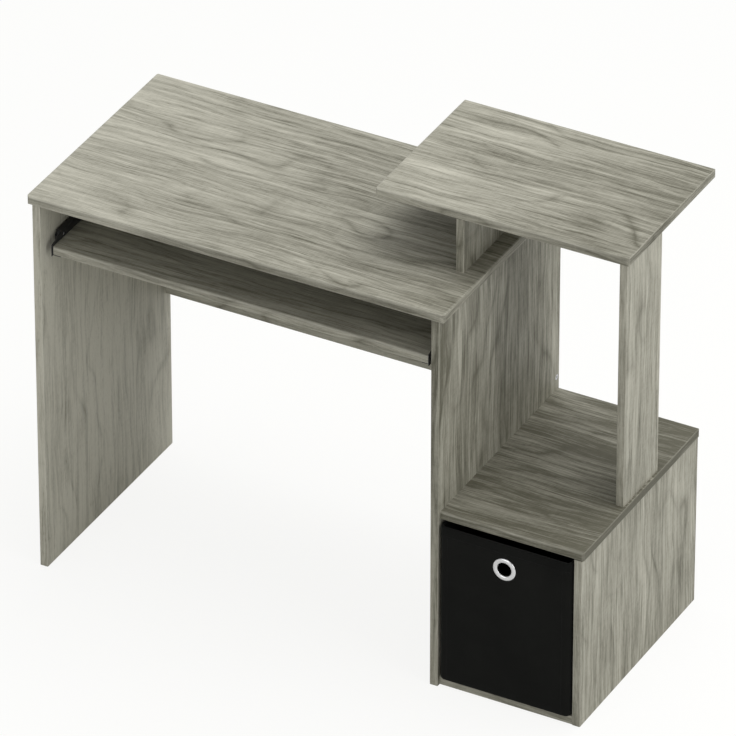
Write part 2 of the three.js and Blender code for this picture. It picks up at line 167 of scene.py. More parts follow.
# A noise is its scale per metre on each axis, its detail and, where it isn't 0.55, its roughness.
# Each layer of the oak print has its noise, the part of it that counts, and its share of the tone.
# The bent layers follow the print's drifting lines, and the straight ones don't.
oakPrint = {
    "bent": {
        "hair": {"noise": ((60, 1300, 1), 4, 0.7), "range": (0.3, 0.7), "share": 0.15},
        "fibre": {"noise": ((13, 380, 1), 5, 0.68), "range": (0.3, 0.7), "share": 0.26},
        "streak": {"noise": ((4.6, 115, 1), 6, 0.66), "range": (0.3, 0.7), "share": 0.32},
        "band": {"noise": ((2.4, 17, 1), 3, 0.55), "range": (0.3, 0.7), "share": 0.17},
    },
    "straight": {
        "cloud": {"noise": ((3.4, 9.0, 1), 4, 0.6), "range": (0.32, 0.68), "share": 0.11},
        "sawMark": {"noise": ((330, 22, 1), 3, 0.55), "range": (0.3, 0.7), "share": 0.035},
    },
    "drift": ((2.2, 7.0, 1.0), 3),
    "driftReach": 0.05,
    "ringsPerMetre": 30.0,
    "ringWander": ((2.1, 4.6, 1.0), 2),
    "ringWanderReach": 16.0,
    "ringSharpness": 4.0,
    "ringShare": -0.24,
    "ringInCloud": (0.3, 0.8),
    "ringInFibre": (0.1, 0.7, 0.35, 1.0),
    "pore": ((75, 1700, 1), 2, 0.5),
    "poreCut": (0.41, 0.35),
    "poreInStreak": (0.7, 0.2, 0.25, 1.0),
    "poreShade": 0.85,
    "poreTint": (0.42, 0.40, 0.34, 1),
    "poreHeight": -0.6,
    "fibreHeight": 0.4,
    "middleTone": 0.48,
    "roughness": (0.66, 0.5),
}


def makeGrainGroup():
    # Grain runs along the vector's X. Colour, roughness and height of a printed oak foil.
    group, start, end = newGroup(
        "oakGrain",
        [("Vector", "NodeSocketVector", None), ("Contrast", "NodeSocketFloat", 1.0),
         ("Lift", "NodeSocketFloat", 0.0), ("Pale", "NodeSocketColor", None),
         ("Deep", "NodeSocketColor", None)],
        [("Color", "NodeSocketColor"), ("Roughness", "NodeSocketFloat"), ("Height", "NodeSocketFloat")],
    )
    raw = start.outputs["Vector"]
    drift = calc(group, "SUBTRACT", stretchedNoise(group, raw, *oakPrint["drift"]), 0.5)
    shift = calc(group, "MULTIPLY", drift, oakPrint["driftReach"])
    push = addNode(group, "ShaderNodeCombineXYZ", {"Y": shift}).outputs[0]
    bent = addNode(group, "ShaderNodeVectorMath", {0: raw, 1: push}, operation="ADD").outputs[0]
    layers = {}
    tone = 0.0
    for vector, family in ((bent, "bent"), (raw, "straight")):
        for name, layer in oakPrint[family].items():
            layers[name] = spread(group, stretchedNoise(group, vector, *layer["noise"]), *layer["range"])
            tone = calc(group, "MULTIPLY_ADD", layers[name], layer["share"], tone)
    # Growth rings, drawn out into arches where they wander
    across = addNode(group, "ShaderNodeSeparateXYZ", {0: bent}).outputs["Y"]
    wander = stretchedNoise(group, raw, *oakPrint["ringWander"])
    wander = calc(group, "MULTIPLY", wander, oakPrint["ringWanderReach"])
    phase = calc(group, "ADD", calc(group, "MULTIPLY", across, oakPrint["ringsPerMetre"]), wander)
    ring = calc(group, "POWER", calc(group, "PINGPONG", phase, 1.0), oakPrint["ringSharpness"])
    ring = calc(group, "MULTIPLY", ring, spread(group, layers["cloud"], *oakPrint["ringInCloud"]))
    ring = calc(group, "MULTIPLY", ring, spread(group, layers["fibre"], *oakPrint["ringInFibre"]))
    # Pores are short dashes, stronger in the dark streaks
    dash = spread(group, stretchedNoise(group, bent, *oakPrint["pore"]), *oakPrint["poreCut"])
    pore = calc(group, "MULTIPLY", dash, spread(group, layers["streak"], *oakPrint["poreInStreak"]))
    tone = calc(group, "MULTIPLY_ADD", ring, oakPrint["ringShare"], tone)
    # Painted light and shade: the per-board lift raises or lowers the whole tone.
    tone = calc(group, "ADD", tone, start.outputs["Lift"])
    tone = calc(group, "SUBTRACT", tone, oakPrint["middleTone"])
    tone = calc(group, "MULTIPLY_ADD", tone, start.outputs["Contrast"], 0.5)
    tone = spread(group, tone, 0.0, 1.0)
    wood = mixColour(group, tone, start.outputs["Deep"], start.outputs["Pale"])
    shade = calc(group, "MULTIPLY", pore, oakPrint["poreShade"])
    wood = mixColour(group, shade, wood, oakPrint["poreTint"], "MULTIPLY")
    group.links.new(wood, end.inputs["Color"])
    gloss = spread(group, layers["fibre"], 0.0, 1.0, *oakPrint["roughness"])
    group.links.new(gloss, end.inputs["Roughness"])
    height = calc(group, "MULTIPLY", layers["fibre"], oakPrint["fibreHeight"])
    group.links.new(calc(group, "MULTIPLY_ADD", pore, oakPrint["poreHeight"], height), end.inputs["Height"])
    return group


scuffSet = {
    "slow": ((30, 30, 30), 3),
    "slowRange": (0.35, 0.7, 0, 0.5),
    "fine": ((900, 900, 900), 3, 0.6),
    "scratch": ((1500, 40, 900), 2),
    "scratchCut": (0.55, 0.7),
    "scratchShare": 0.5,
}


def makeWearGroup():
    # Fine scuffs and a slow unevenness, for metal and plastic.
    group, start, end = newGroup(
        "scuffs",
        [("Vector", "NodeSocketVector", None), ("Scale", "NodeSocketFloat", 1.0)],
        [("Mask", "NodeSocketFloat"), ("Height", "NodeSocketFloat")],
    )
    inputs = {0: start.outputs["Vector"], "Scale": start.outputs["Scale"]}
    place = addNode(group, "ShaderNodeVectorMath", inputs, operation="SCALE").outputs[0]
    slow = spread(group, stretchedNoise(group, place, *scuffSet["slow"]), *scuffSet["slowRange"])
    scratch = spread(group, stretchedNoise(group, place, *scuffSet["scratch"]), *scuffSet["scratchCut"])
    mask = calc(group, "MULTIPLY_ADD", scratch, scuffSet["scratchShare"], slow)
    group.links.new(mask, end.inputs["Mask"])
    group.links.new(stretchedNoise(group, place, *scuffSet["fine"]), end.inputs["Height"])
    return group


pressSet = {
    "unevenness": 0.25,
    "dent": (0.12, 0.4),
    "crease": ((7, 7, 4.5), 2),
    "creaseHeight": 22.0,
    "fuzz": ((2600, 2600, 2600), 3, 0.7),
    "fuzzHeight": 0.35,
    "slow": ((9, 9, 9), 3),
    "toneRange": (0.35, 0.65),
}


def makeClothGroup():
    # Non-woven cloth: pressed dots in matted fibre.
    group, start, end = newGroup(
        "pressedCloth",
        [("Vector", "NodeSocketVector", None), ("Dot Size", "NodeSocketFloat", 0.0016)],
        [("Tone", "NodeSocketFloat"), ("Height", "NodeSocketFloat")],
    )
    place = start.outputs["Vector"]
    scale = calc(group, "DIVIDE", 1.0, start.outputs["Dot Size"])
    inputs = {"Vector": place, "Scale": scale, "Randomness": pressSet["unevenness"]}
    dots = addNode(group, "ShaderNodeTexVoronoi", inputs)
    dent = spread(group, dots.outputs["Distance"], *pressSet["dent"])
    crease = stretchedNoise(group, place, *pressSet["crease"])
    fuzz = stretchedNoise(group, place, *pressSet["fuzz"])
    slow = stretchedNoise(group, place, *pressSet["slow"])
    tone = calc(group, "MULTIPLY_ADD", slow, 0.5, calc(group, "MULTIPLY", fuzz, 0.5))
    group.links.new(spread(group, tone, *pressSet["toneRange"]), end.inputs["Tone"])
    relief = calc(group, "MULTIPLY_ADD", fuzz, pressSet["fuzzHeight"], dent)
    relief = calc(group, "MULTIPLY_ADD", crease, pressSet["creaseHeight"], relief)
    group.links.new(relief, end.inputs["Height"])
    return group


grainGroup = makeGrainGroup()
wearGroup = makeWearGroup()
clothGroup = makeClothGroup()

# Materials

foil = {
    "pale": (0.545, 0.530, 0.445, 1),
    "deep": (0.120, 0.115, 0.082, 1),
    "contrast": 1.95,
    "specular": 0.35,
    "bump": 0.25,
    "bumpDepth": 0.0003,
    "edgeTint": (0.46, 0.45, 0.385, 1),
    "rub": ((14, 14, 1), 3),  # painted highlight: rounded edges are painted pale, in patches
    "rubRange": (0.3, 0.7, 0.05, 0.3),
    "rubGloss": -0.15,
    "endTint": (0.5, 0.49, 0.45, 1),
    "endShade": 0.3,  # painted shade: the strips on the boards' narrow sides are painted a little darker
}


def bumped(tree, shader, height, strength, depth):
    bump = addNode(tree, "ShaderNodeBump", {"Height": height, "Strength": strength, "Distance": depth})
    tree.links.new(bump.outputs["Normal"], shader.inputs["Normal"])


def attributeOf(tree, name):
    return addNode(tree, "ShaderNodeAttribute", attribute_name=name).outputs["Fac"]


def makeOakFoil():
    material, tree, shader = newMaterial("greyOakFoil", {"Specular IOR Level": foil["specular"]})
    along = addNode(tree, "ShaderNodeUVMap", uv_map="grainMap").outputs["UV"]
    # The per-board tone attribute carries painted light and shade.
    settings = {"Vector": along, "Contrast": foil["contrast"], "Lift": attributeOf(tree, "foilTone"),
                "Pale": foil["pale"], "Deep": foil["deep"]}
    grain = placeGroup(tree, grainGroup, settings)
    # Painted highlight: the rounded edges are painted paler, in patches, and made a little glossier.
    worn = spread(tree, stretchedNoise(tree, along, *foil["rub"]), *foil["rubRange"])
    rub = calc(tree, "MULTIPLY", attributeOf(tree, "softEdge"), worn)
    colour = mixColour(tree, rub, grain.outputs["Color"], foil["edgeTint"])
    # Painted shade: the narrow sides are painted darker.
    ends = calc(tree, "MULTIPLY", attributeOf(tree, "boardEnd"), foil["endShade"])
    colour = mixColour(tree, ends, colour, foil["endTint"], "MULTIPLY")
    tree.links.new(colour, shader.inputs["Base Color"])
    gloss = calc(tree, "MULTIPLY_ADD", rub, foil["rubGloss"], grain.outputs["Roughness"])
    tree.links.new(gloss, shader.inputs["Roughness"])
    bumped(tree, shader, grain.outputs["Height"], foil["bump"], foil["bumpDepth"])
    return material


# rough is the roughness of a clean and of a scuffed place, and skin the height of the fine texture
finishes = {
    "blackSteel": {
        "clean": (0.010, 0.010, 0.011, 1), "worn": (0.03, 0.03, 0.03, 1),
        "rough": (0.38, 0.55), "metallic": 0.0, "skin": 0.35, "scale": 1.0,
    },
    "blackNylon": {
        "clean": (0.014, 0.014, 0.015, 1), "worn": (0.035, 0.035, 0.034, 1),
        "rough": (0.4, 0.55), "metallic": 0.0, "skin": 0.1, "scale": 1.0,
    },
    "zincPlate": {
        "clean": (0.72, 0.73, 0.75, 1), "worn": (0.52, 0.52, 0.51, 1),
        "rough": (0.3, 0.5), "metallic": 0.7, "skin": 0.1, "scale": 1.0,
    },
    "castZinc": {
        "clean": (0.46, 0.47, 0.49, 1), "worn": (0.34, 0.34, 0.34, 1),
        "rough": (0.4, 0.6), "metallic": 1.0, "skin": 0.4, "scale": 1.0,
    },
    "satinNickel": {
        "clean": (0.86, 0.86, 0.87, 1), "worn": (0.74, 0.74, 0.74, 1),
        "rough": (0.2, 0.34), "metallic": 1.0, "skin": 0.1, "scale": 1.0,
    },
}
skinDepth = 0.0002


def makeFinish(name):
    # Any metal or plastic: two tones by the scuff mask, uneven gloss, and a fine skin.
    finish = finishes[name]
    material, tree, shader = newMaterial(name, {"Metallic": finish["metallic"]})
    scuffs = placeGroup(tree, wearGroup, {"Vector": objectPoint(tree), "Scale": finish["scale"]})
    mask = scuffs.outputs["Mask"]
    tree.links.new(mixColour(tree, mask, finish["clean"], finish["worn"]), shader.inputs["Base Color"])
    tree.links.new(spread(tree, mask, 0, 1, *finish["rough"]), shader.inputs["Roughness"])
    bumped(tree, shader, scuffs.outputs["Height"], finish["skin"], skinDepth)
    return material


cloths = {
    "blackCloth": {
        "dark": (0.0040, 0.0042, 0.0036, 1), "light": (0.0088, 0.0091, 0.0079, 1),
        "dotSize": 0.0021, "relief": 0.85,
    },
    "bindingCloth": {
        "dark": (0.0035, 0.0037, 0.0032, 1), "light": (0.0075, 0.0078, 0.0068, 1),
        "dotSize": 0.0009, "relief": 0.6,
    },
    "blackThread": {
        "dark": (0.012, 0.012, 0.012, 1), "light": (0.03, 0.03, 0.03, 1),
        "dotSize": 0.0006, "relief": 0.4,
    },
}
clothShader = {"Sheen Weight": 0.03, "Sheen Roughness": 0.5, "Roughness": 0.95, "Specular IOR Level": 0.1}
clothDepth = 0.0003


def makeCloth(name):
    settings = cloths[name]
    material, tree, shader = newMaterial(name, clothShader)
    cloth = placeGroup(tree, clothGroup, {"Vector": objectPoint(tree), "Dot Size": settings["dotSize"]})
    colour = mixColour(tree, cloth.outputs["Tone"], settings["dark"], settings["light"])
    tree.links.new(colour, shader.inputs["Base Color"])
    bumped(tree, shader, cloth.outputs["Height"], settings["relief"], clothDepth)
    return material


beech = {
    "grain": ((60, 900, 60), 4), "range": (0.3, 0.7), "dark": (0.42, 0.27, 0.14, 1),
    "light": (0.66, 0.48, 0.29, 1), "roughness": 0.6, "bump": 0.2, "bumpDepth": 0.0002,
}


def makeBeech():
    material, tree, shader = newMaterial("beechDowel", {"Roughness": beech["roughness"]})
    grain = stretchedNoise(tree, objectPoint(tree), *beech["grain"])
    colour = mixColour(tree, spread(tree, grain, *beech["range"]), beech["dark"], beech["light"])
    tree.links.new(colour, shader.inputs["Base Color"])
    bumped(tree, shader, grain, beech["bump"], beech["bumpDepth"])
    return material


oakFoil = makeOakFoil()
blackSteel = makeFinish("blackSteel")
blackNylon = makeFinish("blackNylon")
zincPlate = makeFinish("zincPlate")
castZinc = makeFinish("castZinc")
satinNickel = makeFinish("satinNickel")
blackCloth = makeCloth("blackCloth")
bindingCloth = makeCloth("bindingCloth")
blackThread = makeCloth("blackThread")
beechWood = makeBeech()
print("materials made")

# Mesh helpers

meshSet = {
    "merge": 1e-5,  # points nearer than this are one
    "speck": 1e-6,  # edges shorter than this are dropped
    "sharpAngle": 35,
    "flatWeight": 60,
}


def addObject(name, mesh, material=None):
    piece = bpy.data.objects.new(name, mesh)
    bpy.context.scene.collection.objects.link(piece)
    if material:
        mesh.materials.clear()
        mesh.materials.append(material)
    return piece


def settle(piece, name, material=None):
    # The evaluated piece as a plain mesh, with its modifiers spent.
    graph = bpy.context.evaluated_depsgraph_get()
    mesh = bpy.data.meshes.new_from_object(piece.evaluated_get(graph), depsgraph=graph)
    bpy.data.objects.remove(piece)
    mesh.name = name
    return addObject(name, mesh, material)


def finishPiece(mesh, name, material):
    # Broad faces shade flat, and the rounded edges between them shade smooth.
    piece = addObject("rough", mesh, material)
    modifier = piece.modifiers.new("even", "WEIGHTED_NORMAL")
    modifier.keep_sharp = True
    modifier.weight = meshSet["flatWeight"]
    return settle(piece, name, material)


def markSharp(build, angle=meshSet["sharpAngle"]):
    limit = math.radians(angle)
    for face in build.faces:
        face.smooth = True
    for edge in build.edges:
        edge.smooth = not (len(edge.link_faces) == 2 and edge.calc_face_angle(0) > limit)


def mergedCopy(node):
    build = bmesh.new()
    build.from_mesh(nodes[node].data)
    bmesh.ops.remove_doubles(build, verts=build.verts, dist=meshSet["merge"])
    bmesh.ops.dissolve_degenerate(build, edges=build.edges, dist=meshSet["speck"])
    return build


def meshFrom(build, name):
    mesh = bpy.data.meshes.new(name)
    build.to_mesh(mesh)
    build.free()
    return mesh


def give(piece, body, slot, *replaced):
    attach(piece, body)
    if replaced:
        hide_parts(*replaced)
    return piece


# Boards

# the last pair is the foil's tone at the board's two ends, along the grain. It is painted light and shade:
# painted shade below zero, as on the cabinet top, riser, middle panel and the right ends of the desktop and
# shelf, and painted light on the left panel
boards = {
    "desktop": {"grain": 0, "thick": 2, "sheet": (0.00, 0.00), "tones": (0.06, -0.13)},
    "raised_shelf": {"grain": 0, "thick": 2, "sheet": (5.37, 1.62), "tones": (0.0, -0.17)},
    "keyboard_tray": {"grain": 0, "thick": 2, "sheet": (9.15, 3.30), "tones": (-0.03, -0.03)},
    "cabinet_top": {"grain": 0, "thick": 2, "sheet": (13.4, 2.25), "tones": (-0.17, -0.28)},
    "cabinet_bottom": {"grain": 0, "thick": 2, "sheet": (17.8, 4.10), "tones": (0.0, 0.0)},
    "modesty_panel": {"grain": 0, "thick": 1, "sheet": (21.6, 5.70), "tones": (0.0, 0.0)},
    "left_panel": {"grain": 2, "thick": 0, "sheet": (25.3, 6.45), "tones": (0.17, 0.20)},
    "middle_panel": {"grain": 2, "thick": 0, "sheet": (29.9, 7.90), "tones": (-0.02, -0.16)},
    "right_panel": {"grain": 2, "thick": 0, "sheet": (33.1, 8.55), "tones": (-0.06, -0.03)},
    "shelf_post": {"grain": 2, "thick": 0, "sheet": (37.7, 9.20), "tones": (-0.02, 0.02)},
    "riser_panel": {"grain": 2, "thick": 0, "sheet": (41.2, 9.95), "tones": (-0.12, -0.12)},
}
endStrip = (1.7, 0.6)  # where the end strips start on the foil
flatFacing = 0.995  # a face turned further than this from every axis is on a rounded edge
narrowFacing = 0.5


def mapGrain(build, grain, thick, sheet):
    # U runs along the grain and V across it, in metres, from the board's own place on the foil.
    # An end of the board has its own strip, with the grain along the strip.
    across = 3 - grain - thick
    layer = build.loops.layers.uv.new("grainMap")
    for face in build.faces:
        size = [abs(value) for value in face.normal]
        facing = size.index(max(size))
        for loop in face.loops:
            co = loop.vert.co
            if facing == grain:
                u, v = co[across] + endStrip[0], co[thick] + endStrip[1]
            elif facing == thick:
                u, v = co[grain], co[across]
            else:
                u, v = co[grain], co[across] + co[thick]
            loop[layer].uv = (u + sheet[0], v + sheet[1])


def paintFoilLightAndShade(build, grain, tones):
    # Painted light and shade: each board's foil tone runs from one value to the other along the grain.
    layer = build.verts.layers.float.new("foilTone")
    places = [v.co[grain] for v in build.verts]
    low, high = min(places), max(places)
    for v in build.verts:
        v[layer] = tones[0] + (tones[1] - tones[0]) * (v.co[grain] - low) / (high - low)


def markEdges(build, thick):
    # softEdge is 1 on the facets of a rounded edge. boardEnd is 1 on the narrow sides.
    soft = build.faces.layers.float.new("softEdge")
    narrow = build.faces.layers.float.new("boardEnd")
    for face in build.faces:
        face[soft] = 1.0 if max(abs(value) for value in face.normal) < flatFacing else 0.0
        face[narrow] = 1.0 if abs(face.normal[thick]) < narrowFacing else 0.0


def makeBoard(node, settings):
    build = mergedCopy(node)
    mapGrain(build, settings["grain"], settings["thick"], settings["sheet"])
    paintFoilLightAndShade(build, settings["grain"], settings["tones"])
    markEdges(build, settings["thick"])
    markSharp(build)
    name = node.replace("_panel", "").replace("_", "") + "Board"
    piece = finishPiece(meshFrom(build, node), name, oakFoil)
    give(piece, bodyOfNode[node], "laminate", node)


for node, settings in boards.items():
    makeBoard(node, settings)
print("boards made:", len(boards))

# Slides, rollers and rivets

rivetSharp = 50
spinSet = {"merge": 1e-7, "speck": 1e-8, "sharpAngle": 40}


def smoothNode(node, name, material, slot, angle=meshSet["sharpAngle"]):
    build = mergedCopy(node)
    markSharp(build, angle)
    piece = finishPiece(meshFrom(build, name), name, material)
    return give(piece, bodyOfNode[node], slot, node)


def spinProfile(name, profile, centre, axis, segments=48):
    # A closed profile of (radius, height) turned about an axis through the centre.
    build = bmesh.new()
    turn = Vector((0, 0, 1)).rotation_difference(Vector(axis)).to_matrix()
    rings = []
    for step in range(segments):
        angle = 2 * math.pi * step / segments
        spot = [Vector((r * math.cos(angle), r * math.sin(angle), h)) for r, h in profile]
        rings.append([build.verts.new(Vector(centre) + turn @ p) for p in spot])
    count = len(profile)
    for step in range(segments):
        here, there = rings[step], rings[(step + 1) % segments]
        for i in range(count):
            j = (i + 1) % count
            build.faces.new((here[i], there[i], there[j], here[j]))
    bmesh.ops.remove_doubles(build, verts=build.verts, dist=spinSet["merge"])
    bmesh.ops.dissolve_degenerate(build, edges=build.edges, dist=spinSet["speck"])
    bmesh.ops.recalc_face_normals(build, faces=build.faces)
    markSharp(build, spinSet["sharpAngle"])
    return meshFrom(build, name)


def nodeCentre(node):
    low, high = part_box(node)
    return (low + high) / 2, high - low


# hub is the raised wall round the bore, slope the groove's sides, and ease the rim's soft edge
rollerSet = {
    "bore": 0.0028, "hub": 0.0012, "groove": 0.0012, "grooveEnd": 0.62,
    "slope": 0.0004, "ease": 0.0009, "easeShare": 0.3,
}


def makeRoller(side, end):
    # A nylon roller with a moulded groove in each face.
    node = f"{side}_{end}_roller"
    centre, size = nodeCentre(node)
    radius, half = size.z / 2, size.x / 2
    bore, hub, slope = rollerSet["bore"], rollerSet["hub"], rollerSet["slope"]
    floor = half - rollerSet["groove"]
    at = bore + (radius - bore) * rollerSet["grooveEnd"]
    ease = rollerSet["ease"]
    part = ease * rollerSet["easeShare"]
    outer = [(bore, half), (bore + hub, half), (bore + hub + slope, floor), (at, floor), (at + slope, half),
             (radius - ease, half), (radius - part, half - part), (radius, half - ease)]
    profile = outer + [(r, -h) for r, h in reversed(outer)]
    mesh = spinProfile(node, profile, centre, (1, 0, 0))
    piece = finishPiece(mesh, f"{side}{end.title()}Roller", blackNylon)
    give(piece, bodyOfNode[node], "roller_nylon", node)


for side in ("left", "right"):
    smoothNode(f"{side}_slide_channel", f"{side}Channel", blackSteel, "slide_steel")
    smoothNode(f"{side}_slide_rail", f"{side}Rail", blackSteel, "slide_steel")
    for end in ("front", "rear"):
        makeRoller(side, end)
        smoothNode(f"{side}_{end}_axle", f"{side}{end.title()}Rivet", zincPlate, "zinc_steel", rivetSharp)
print("slides made")

# Screws, each set repeated over its places by geometry nodes

longEndings = ("_upper", "_lower", "screw_front", "screw_back")
screwSets = {
    "longScrews": {
        "nodes": [n for n in nodes if n.endswith(longEndings)] + ["post_screw", "riser_screw"],
        "headRadius": 0.005, "headHeight": 0.0028, "shankRadius": 0.0032, "socketRadius": 0.0022,
        "socketSides": 6, "socketDepth": 0.0022, "body": "frame",
    },
    "channelScrews": {
        "nodes": [n for n in nodes if "channel_screw" in n],
        "headRadius": 0.0034, "headHeight": 0.0012, "shankRadius": 0.0016, "socketRadius": 0.0015,
        "socketSides": 4, "socketDepth": 0.0009, "body": "frame",
    },
    "railScrews": {
        "nodes": [n for n in nodes if "rail_screw" in n],
        "headRadius": 0.0036, "headHeight": 0.0022, "shankRadius": 0.0016, "socketRadius": 0.0016,
        "socketSides": 4, "socketDepth": 0.0011, "body": "tray",
    },
}
screwInputs = ["headRadius", "headHeight", "shankRadius", "shankLength", "socketRadius", "socketDepth"]
headSides = 24
shankSides = 16
tipGap = 0.002  # the shank stops this far short of its hole's end
headSkin = 0.0012  # points this near an end of the screw belong to that end


def newPointTree(name, labels):
    tree = bpy.data.node_groups.new(name, "GeometryNodeTree")
    tree.interface.new_socket("Geometry", in_out="INPUT", socket_type="NodeSocketGeometry")
    for label in labels:
        tree.interface.new_socket(label, in_out="INPUT", socket_type="NodeSocketFloat")
    tree.interface.new_socket("Geometry", in_out="OUTPUT", socket_type="NodeSocketGeometry")
    return tree, tree.nodes.new("NodeGroupInput"), tree.nodes.new("NodeGroupOutput")


def endPointTree(tree, end, inputs, direction, material):
    # One copy on each point, its Z along the direction, made real and painted.
    turned = addNode(tree, "FunctionNodeAlignRotationToVector", {"Vector": direction}, axis="Z")
    copies = addNode(tree, "GeometryNodeInstanceOnPoints", dict(inputs, Rotation=turned.outputs[0]))
    real = addNode(tree, "GeometryNodeRealizeInstances", {"Geometry": copies.outputs[0]})
    painted = addNode(tree, "GeometryNodeSetMaterial", {"Geometry": real.outputs[0], "Material": material})
    tree.links.new(painted.outputs[0], end.inputs[0])


def runTree(mesh, tree, sizes, name, material):
    piece = addObject("rough", mesh)
    modifier = piece.modifiers.new("points", "NODES")
    modifier.node_group = tree
    for item in tree.interface.items_tree:
        if item.in_out == "INPUT" and item.name in sizes:
            modifier[item.identifier] = sizes[item.name]
    return settle(piece, name, material)


def makeScrewTree(name, sides, material):
    # Points with a "way" attribute each get one screw, its head's face on the point.
    tree, start, end = newPointTree(name, screwInputs)

    def rodAt(radius, depth, offset, facets):
        inputs = {"Vertices": facets, "Radius": radius, "Depth": depth}
        rod = addNode(tree, "GeometryNodeMeshCylinder", inputs)
        place = addNode(tree, "ShaderNodeCombineXYZ", {"Z": offset})
        inputs = {"Geometry": rod.outputs["Mesh"], "Translation": place.outputs[0]}
        return addNode(tree, "GeometryNodeTransform", inputs).outputs["Geometry"]

    out = start.outputs
    headMiddle = calc(tree, "MULTIPLY", out["headHeight"], -0.5)
    head = rodAt(out["headRadius"], out["headHeight"], headMiddle, headSides)
    socket = rodAt(out["socketRadius"], calc(tree, "MULTIPLY", out["socketDepth"], 2.0), 0.0, sides)
    parts = {"Mesh 1": head, "Mesh 2": socket}
    cutHead = addNode(tree, "GeometryNodeMeshBoolean", parts, operation="DIFFERENCE")
    headEnd = calc(tree, "MULTIPLY", out["headHeight"], -1.0)
    shankMiddle = calc(tree, "MULTIPLY_ADD", out["shankLength"], -0.5, headEnd)
    shank = rodAt(out["shankRadius"], out["shankLength"], shankMiddle, shankSides)
    screw = addNode(tree, "GeometryNodeJoinGeometry")
    tree.links.new(shank, screw.inputs[0])
    tree.links.new(cutHead.outputs["Mesh"], screw.inputs[0])
    way = addNode(tree, "GeometryNodeInputNamedAttribute", {"Name": "way"}, data_type="FLOAT_VECTOR")
    inputs = {"Points": out["Geometry"], "Instance": screw.outputs[0]}
    endPointTree(tree, end, inputs, way.outputs[0], material)
    return tree


def headPlace(node):
    # A screw lies along its box's longest side, with its head at the wider end.
    low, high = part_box(node)
    axis = max(range(3), key=lambda i: high[i] - low[i])
    other = (axis + 1) % 3
    points = [v.co for v in nodes[node].data.vertices]
    middle = (low + high) / 2

    def reach(end):
        near = [p for p in points if abs(p[axis] - end) < headSkin]
        return max(abs(p[other] - middle[other]) for p in near)

    outward = 1 if reach(high[axis]) > reach(low[axis]) else -1
    way = Vector((0, 0, 0))
    way[axis] = outward
    spot = middle.copy()
    spot[axis] = high[axis] if outward > 0 else low[axis]
    return spot, way, high[axis] - low[axis]


def makeScrews(name, settings):
    places = [headPlace(node) for node in settings["nodes"]]
    mesh = bpy.data.meshes.new(name)
    mesh.from_pydata([spot for spot, _, _ in places], [], [])
    ways = mesh.attributes.new("way", "FLOAT_VECTOR", "POINT")
    ways.data.foreach_set("vector", [value for _, way, _ in places for value in way])
    length = places[0][2]
    sizes = dict(settings, shankLength=length - settings["headHeight"] - tipGap)
    tree = makeScrewTree(name + "Tree", settings["socketSides"], zincPlate)
    piece = runTree(mesh, tree, sizes, name, zincPlate)
    give(piece, settings["body"], "zinc_steel", *settings["nodes"])


for name, settings in screwSets.items():
    makeScrews(name, settings)
for node in [n for n in nodes if "_cam_" in n]:
    name = node.replace("_cam_lock", "CamLock").replace("_cam_bolt", "CamBolt").replace("_", "")
    smoothNode(node, name, castZinc, "cam_zinc")
for node in [n for n in nodes if "dowel" in n]:
    smoothNode(node, node.replace("_", "") + "Peg", beechWood, "beech")
print("fasteners made")

# Fabric bin

binSet = {
    "corner": 0.009, "cornerLeast": 0.001, "cornerSteps": 7, "sideSteps": 14,
    "wall": 0.0030, "levels": 18, "sharpAngle": 50,
    "bow": 0.0010, "bowFullness": 0.8,  # how far the sides belly out, and how evenly up their height
    "foot": ((0.004, 0.0), (0.0012, 0.0008)),  # inset and height of each ring of the rounded foot
    "footTop": 0.003,
    "holeRadius": 0.0157, "holeReach": 0.012, "holeSides": 40,
    "seamIn": 0.0055, "seamFoot": 0.006, "seamTop": 0.001, "seamSteps": 16,
    "stitchDrop": 0.0165, "stitchLift": 0.0001,
}


def binLoop(low, high, inset, z, bow):
    # Points round the bin at one height: rounded corners, and sides that bow out a little.
    r = max(binSet["corner"] - inset, binSet["cornerLeast"])
    near = Vector((low.x + inset, low.y + inset))
    far = Vector((high.x - inset, high.y - inset))
    corners = [((near.x + r, near.y + r), math.pi), ((far.x - r, near.y + r), 1.5 * math.pi),
               ((far.x - r, far.y - r), 0.0), ((near.x + r, far.y - r), 0.5 * math.pi)]
    points = []
    for index, ((cx, cy), first) in enumerate(corners):
        steps = binSet["cornerSteps"]
        for step in range(steps + 1):
            angle = first + 0.5 * math.pi * step / steps
            points.append(Vector((cx + r * math.cos(angle), cy + r * math.sin(angle), z)))
        (nx, ny), nextFirst = corners[(index + 1) % 4]
        a = points[-1]
        b = Vector((nx + r * math.cos(nextFirst), ny + r * math.sin(nextFirst), z))
        side = (b - a).normalized()
        out = Vector((side.y, -side.x, 0))
        for step in range(1, binSet["sideSteps"]):
            t = step / binSet["sideSteps"]
            points.append(a.lerp(b, t) + out * bow * math.sin(math.pi * t))
    return points


def bowAt(share):
    return binSet["bow"] * math.sin(math.pi * min(max(share, 0), 1)) ** binSet["bowFullness"]


def loftMesh(name, loops, angle, closed=False):
    # A skin over loops of equal count. A closed one is a ring, and an open one gets a floor and a lid.
    build = bmesh.new()
    rows = [[build.verts.new(p) for p in loop] for loop in loops]
    pairs = list(zip(rows, rows[1:])) + ([(rows[-1], rows[0])] if closed else [])
    for lower, upper in pairs:
        for i in range(len(lower)):
            j = (i + 1) % len(lower)
            build.faces.new((lower[i], lower[j], upper[j], upper[i]))
    if not closed:
        build.faces.new(list(reversed(rows[0])))
        build.faces.new(rows[-1])
    bmesh.ops.recalc_face_normals(build, faces=build.faces)
    markSharp(build, angle)
    return meshFrom(build, name)


